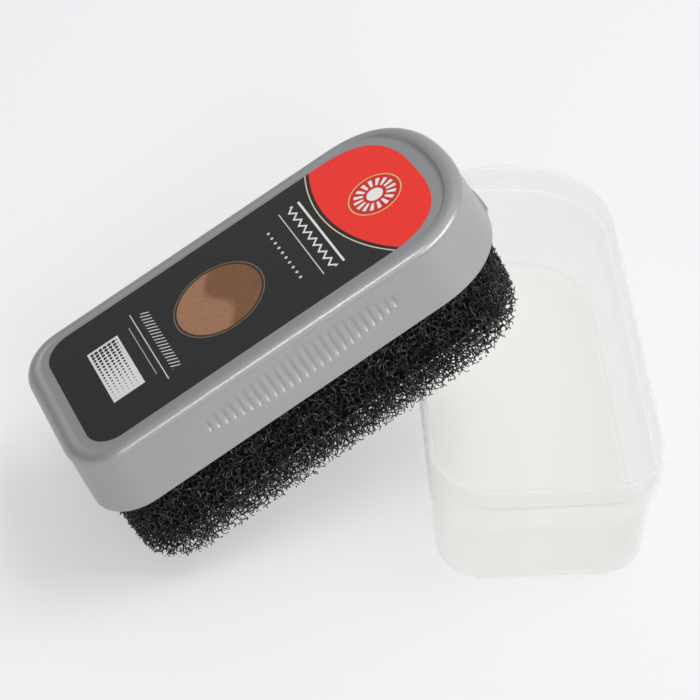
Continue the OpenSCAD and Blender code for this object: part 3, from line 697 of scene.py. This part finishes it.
# Painted shade: the base colour turns greyer on the floor and fades out by FLOOR_SHADE_H up the walls, for the
# dimmer light down in the tray. The floor lies on the table and is a little thicker than the walls.
low = add(tree, "ShaderNodeSeparateXYZ", [where], out=None)
low = add(tree, "ShaderNodeMapRange", {"Value": low["Z"], "From Min": FLOOR_T / 1000,
                                       "From Max": FLOOR_SHADE_H / 1000, "To Min": 1.0, "To Max": 0.0},
          interpolation_type="SMOOTHSTEP")
surface = add(tree, "ShaderNodeBsdfPrincipled", {
    "Base Color": add(tree, "ShaderNodeMix", {"Factor_Float": low, "A_Color": clear,
                                              "B_Color": colour("#f1e7d9")}, out=2, data_type="RGBA"),
    "Normal": add(tree, "ShaderNodeBump", {"Height": grain, "Strength": 0.1, "Distance": 0.00005}),
    "Alpha": add(tree, "ShaderNodeMath", [milk, front], operation="MULTIPLY"),
    "Roughness": 0.4, "IOR": 1.49, "Subsurface Weight": 1.0, "Subsurface Radius": (1.0, 0.95, 0.85),
    "Subsurface Scale": 0.008})
add(tree, "ShaderNodeOutputMaterial", {"Surface": surface}, out=None)
cover.data.materials.append(milky)
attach(cover, "cover")
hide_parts("cover")

# Stage: a pale matt table in a pale room that dims towards the left. The softbox on the right lights and isn't
# reflected, the one behind the camera does both, and the long strip low on the right is only there to be
# reflected, as the highlight along the bead. Sizes are in m.
TABLE_HALF, TABLE_Z, TABLE_GLOW = 4.0, -0.0003, 0.45
floor_mesh = bpy.data.meshes.new("table_top")
floor_mesh.from_pydata([(TABLE_HALF * x, TABLE_HALF * y, TABLE_Z) for x, y in ((-1, -1), (1, -1), (1, 1), (-1, 1))],
                       [], [(0, 1, 2, 3)])
floor = bpy.data.objects.new("table_top", floor_mesh)
bpy.context.scene.collection.objects.link(floor)
paper = blank_material("pale_matt_table")
tree = paper.node_tree
surface = add(tree, "ShaderNodeBsdfPrincipled", {"Base Color": colour("#ebeced"), "Roughness": 0.9,
                                                 "Specular IOR Level": 0.1})
path = add(tree, "ShaderNodeLightPath", out=None)
seen = add(tree, "ShaderNodeMath", [path["Is Glossy Ray"], path["Is Transmission Ray"]], operation="MAXIMUM")
seen = add(tree, "ShaderNodeMath", [seen, path["Is Camera Ray"]], operation="MAXIMUM")
glow = add(tree, "ShaderNodeEmission", {"Color": colour("#fbfbfc"), "Strength": 1.0})
seen = add(tree, "ShaderNodeMath", [seen, TABLE_GLOW], operation="MULTIPLY")
mixed = add(tree, "ShaderNodeMixShader", [seen, surface, glow])
add(tree, "ShaderNodeOutputMaterial", {"Surface": mixed}, out=None)
floor_mesh.materials.append(paper)

world = bpy.data.worlds.new("pale_room")
world.use_nodes = True
tree = world.node_tree
tree.nodes.clear()
axes = add(tree, "ShaderNodeSeparateXYZ", [add(tree, "ShaderNodeTexCoord", out="Generated")], out=None)
level = add(tree, "ShaderNodeMapRange", {"Value": axes["Y"], "From Min": 0.1, "From Max": 0.85, "To Min": 0.62,
                                         "To Max": 0.2}, interpolation_type="SMOOTHSTEP")
room = add(tree, "ShaderNodeBackground", {"Color": colour("#f6f7f8"), "Strength": level})
add(tree, "ShaderNodeOutputWorld", {"Surface": room}, out=None)
bpy.context.scene.world = world

# Name, place, size, turn in degrees, power in watts, and whether it lights and is reflected
LAMPS = (("key_softbox", (0.05, -0.52, 1.24), (0.8, 0.8), 0, 9.2, True, False),
         ("camera_side_softbox", (-1.44, -0.22, 1.06), (0.45, 0.45), 0, 6.6, True, True),
         ("bead_strip", (-0.81, -1.46, 0.59), (1.8, 0.32), 26, 22.0, False, True))
aim = Vector((0, 0.03, 0.03))
for name, place, (length, height), roll, power, lights, shines in LAMPS:
    light = bpy.data.lights.new(name, "AREA")
    light.shape, light.size, light.size_y, light.energy = "RECTANGLE", length, height, power
    holder = bpy.data.objects.new(name, light)
    holder.location = place
    towards = (aim - holder.location).to_track_quat("-Z", "Y").to_matrix()
    holder.rotation_euler = (towards @ Matrix.Rotation(math.radians(roll), 3, "Z")).to_euler()
    holder.visible_diffuse, holder.visible_glossy = lights, shines
    bpy.context.scene.collection.objects.link(holder)

# The camera stands where the photograph was taken from, with a long lens
camera = bpy.data.objects.new("camera", bpy.data.cameras.new("camera"))
camera.data.lens, camera.data.sensor_width = 116.5, 36
camera.location = (-0.5024, 0.0866, 0.5090)
camera.rotation_euler = [math.radians(angle) for angle in (46.427, -0.272, -93.529)]
bpy.context.scene.collection.objects.link(camera)
bpy.context.scene.camera = camera
bpy.context.scene.view_settings.view_transform = "Standard"
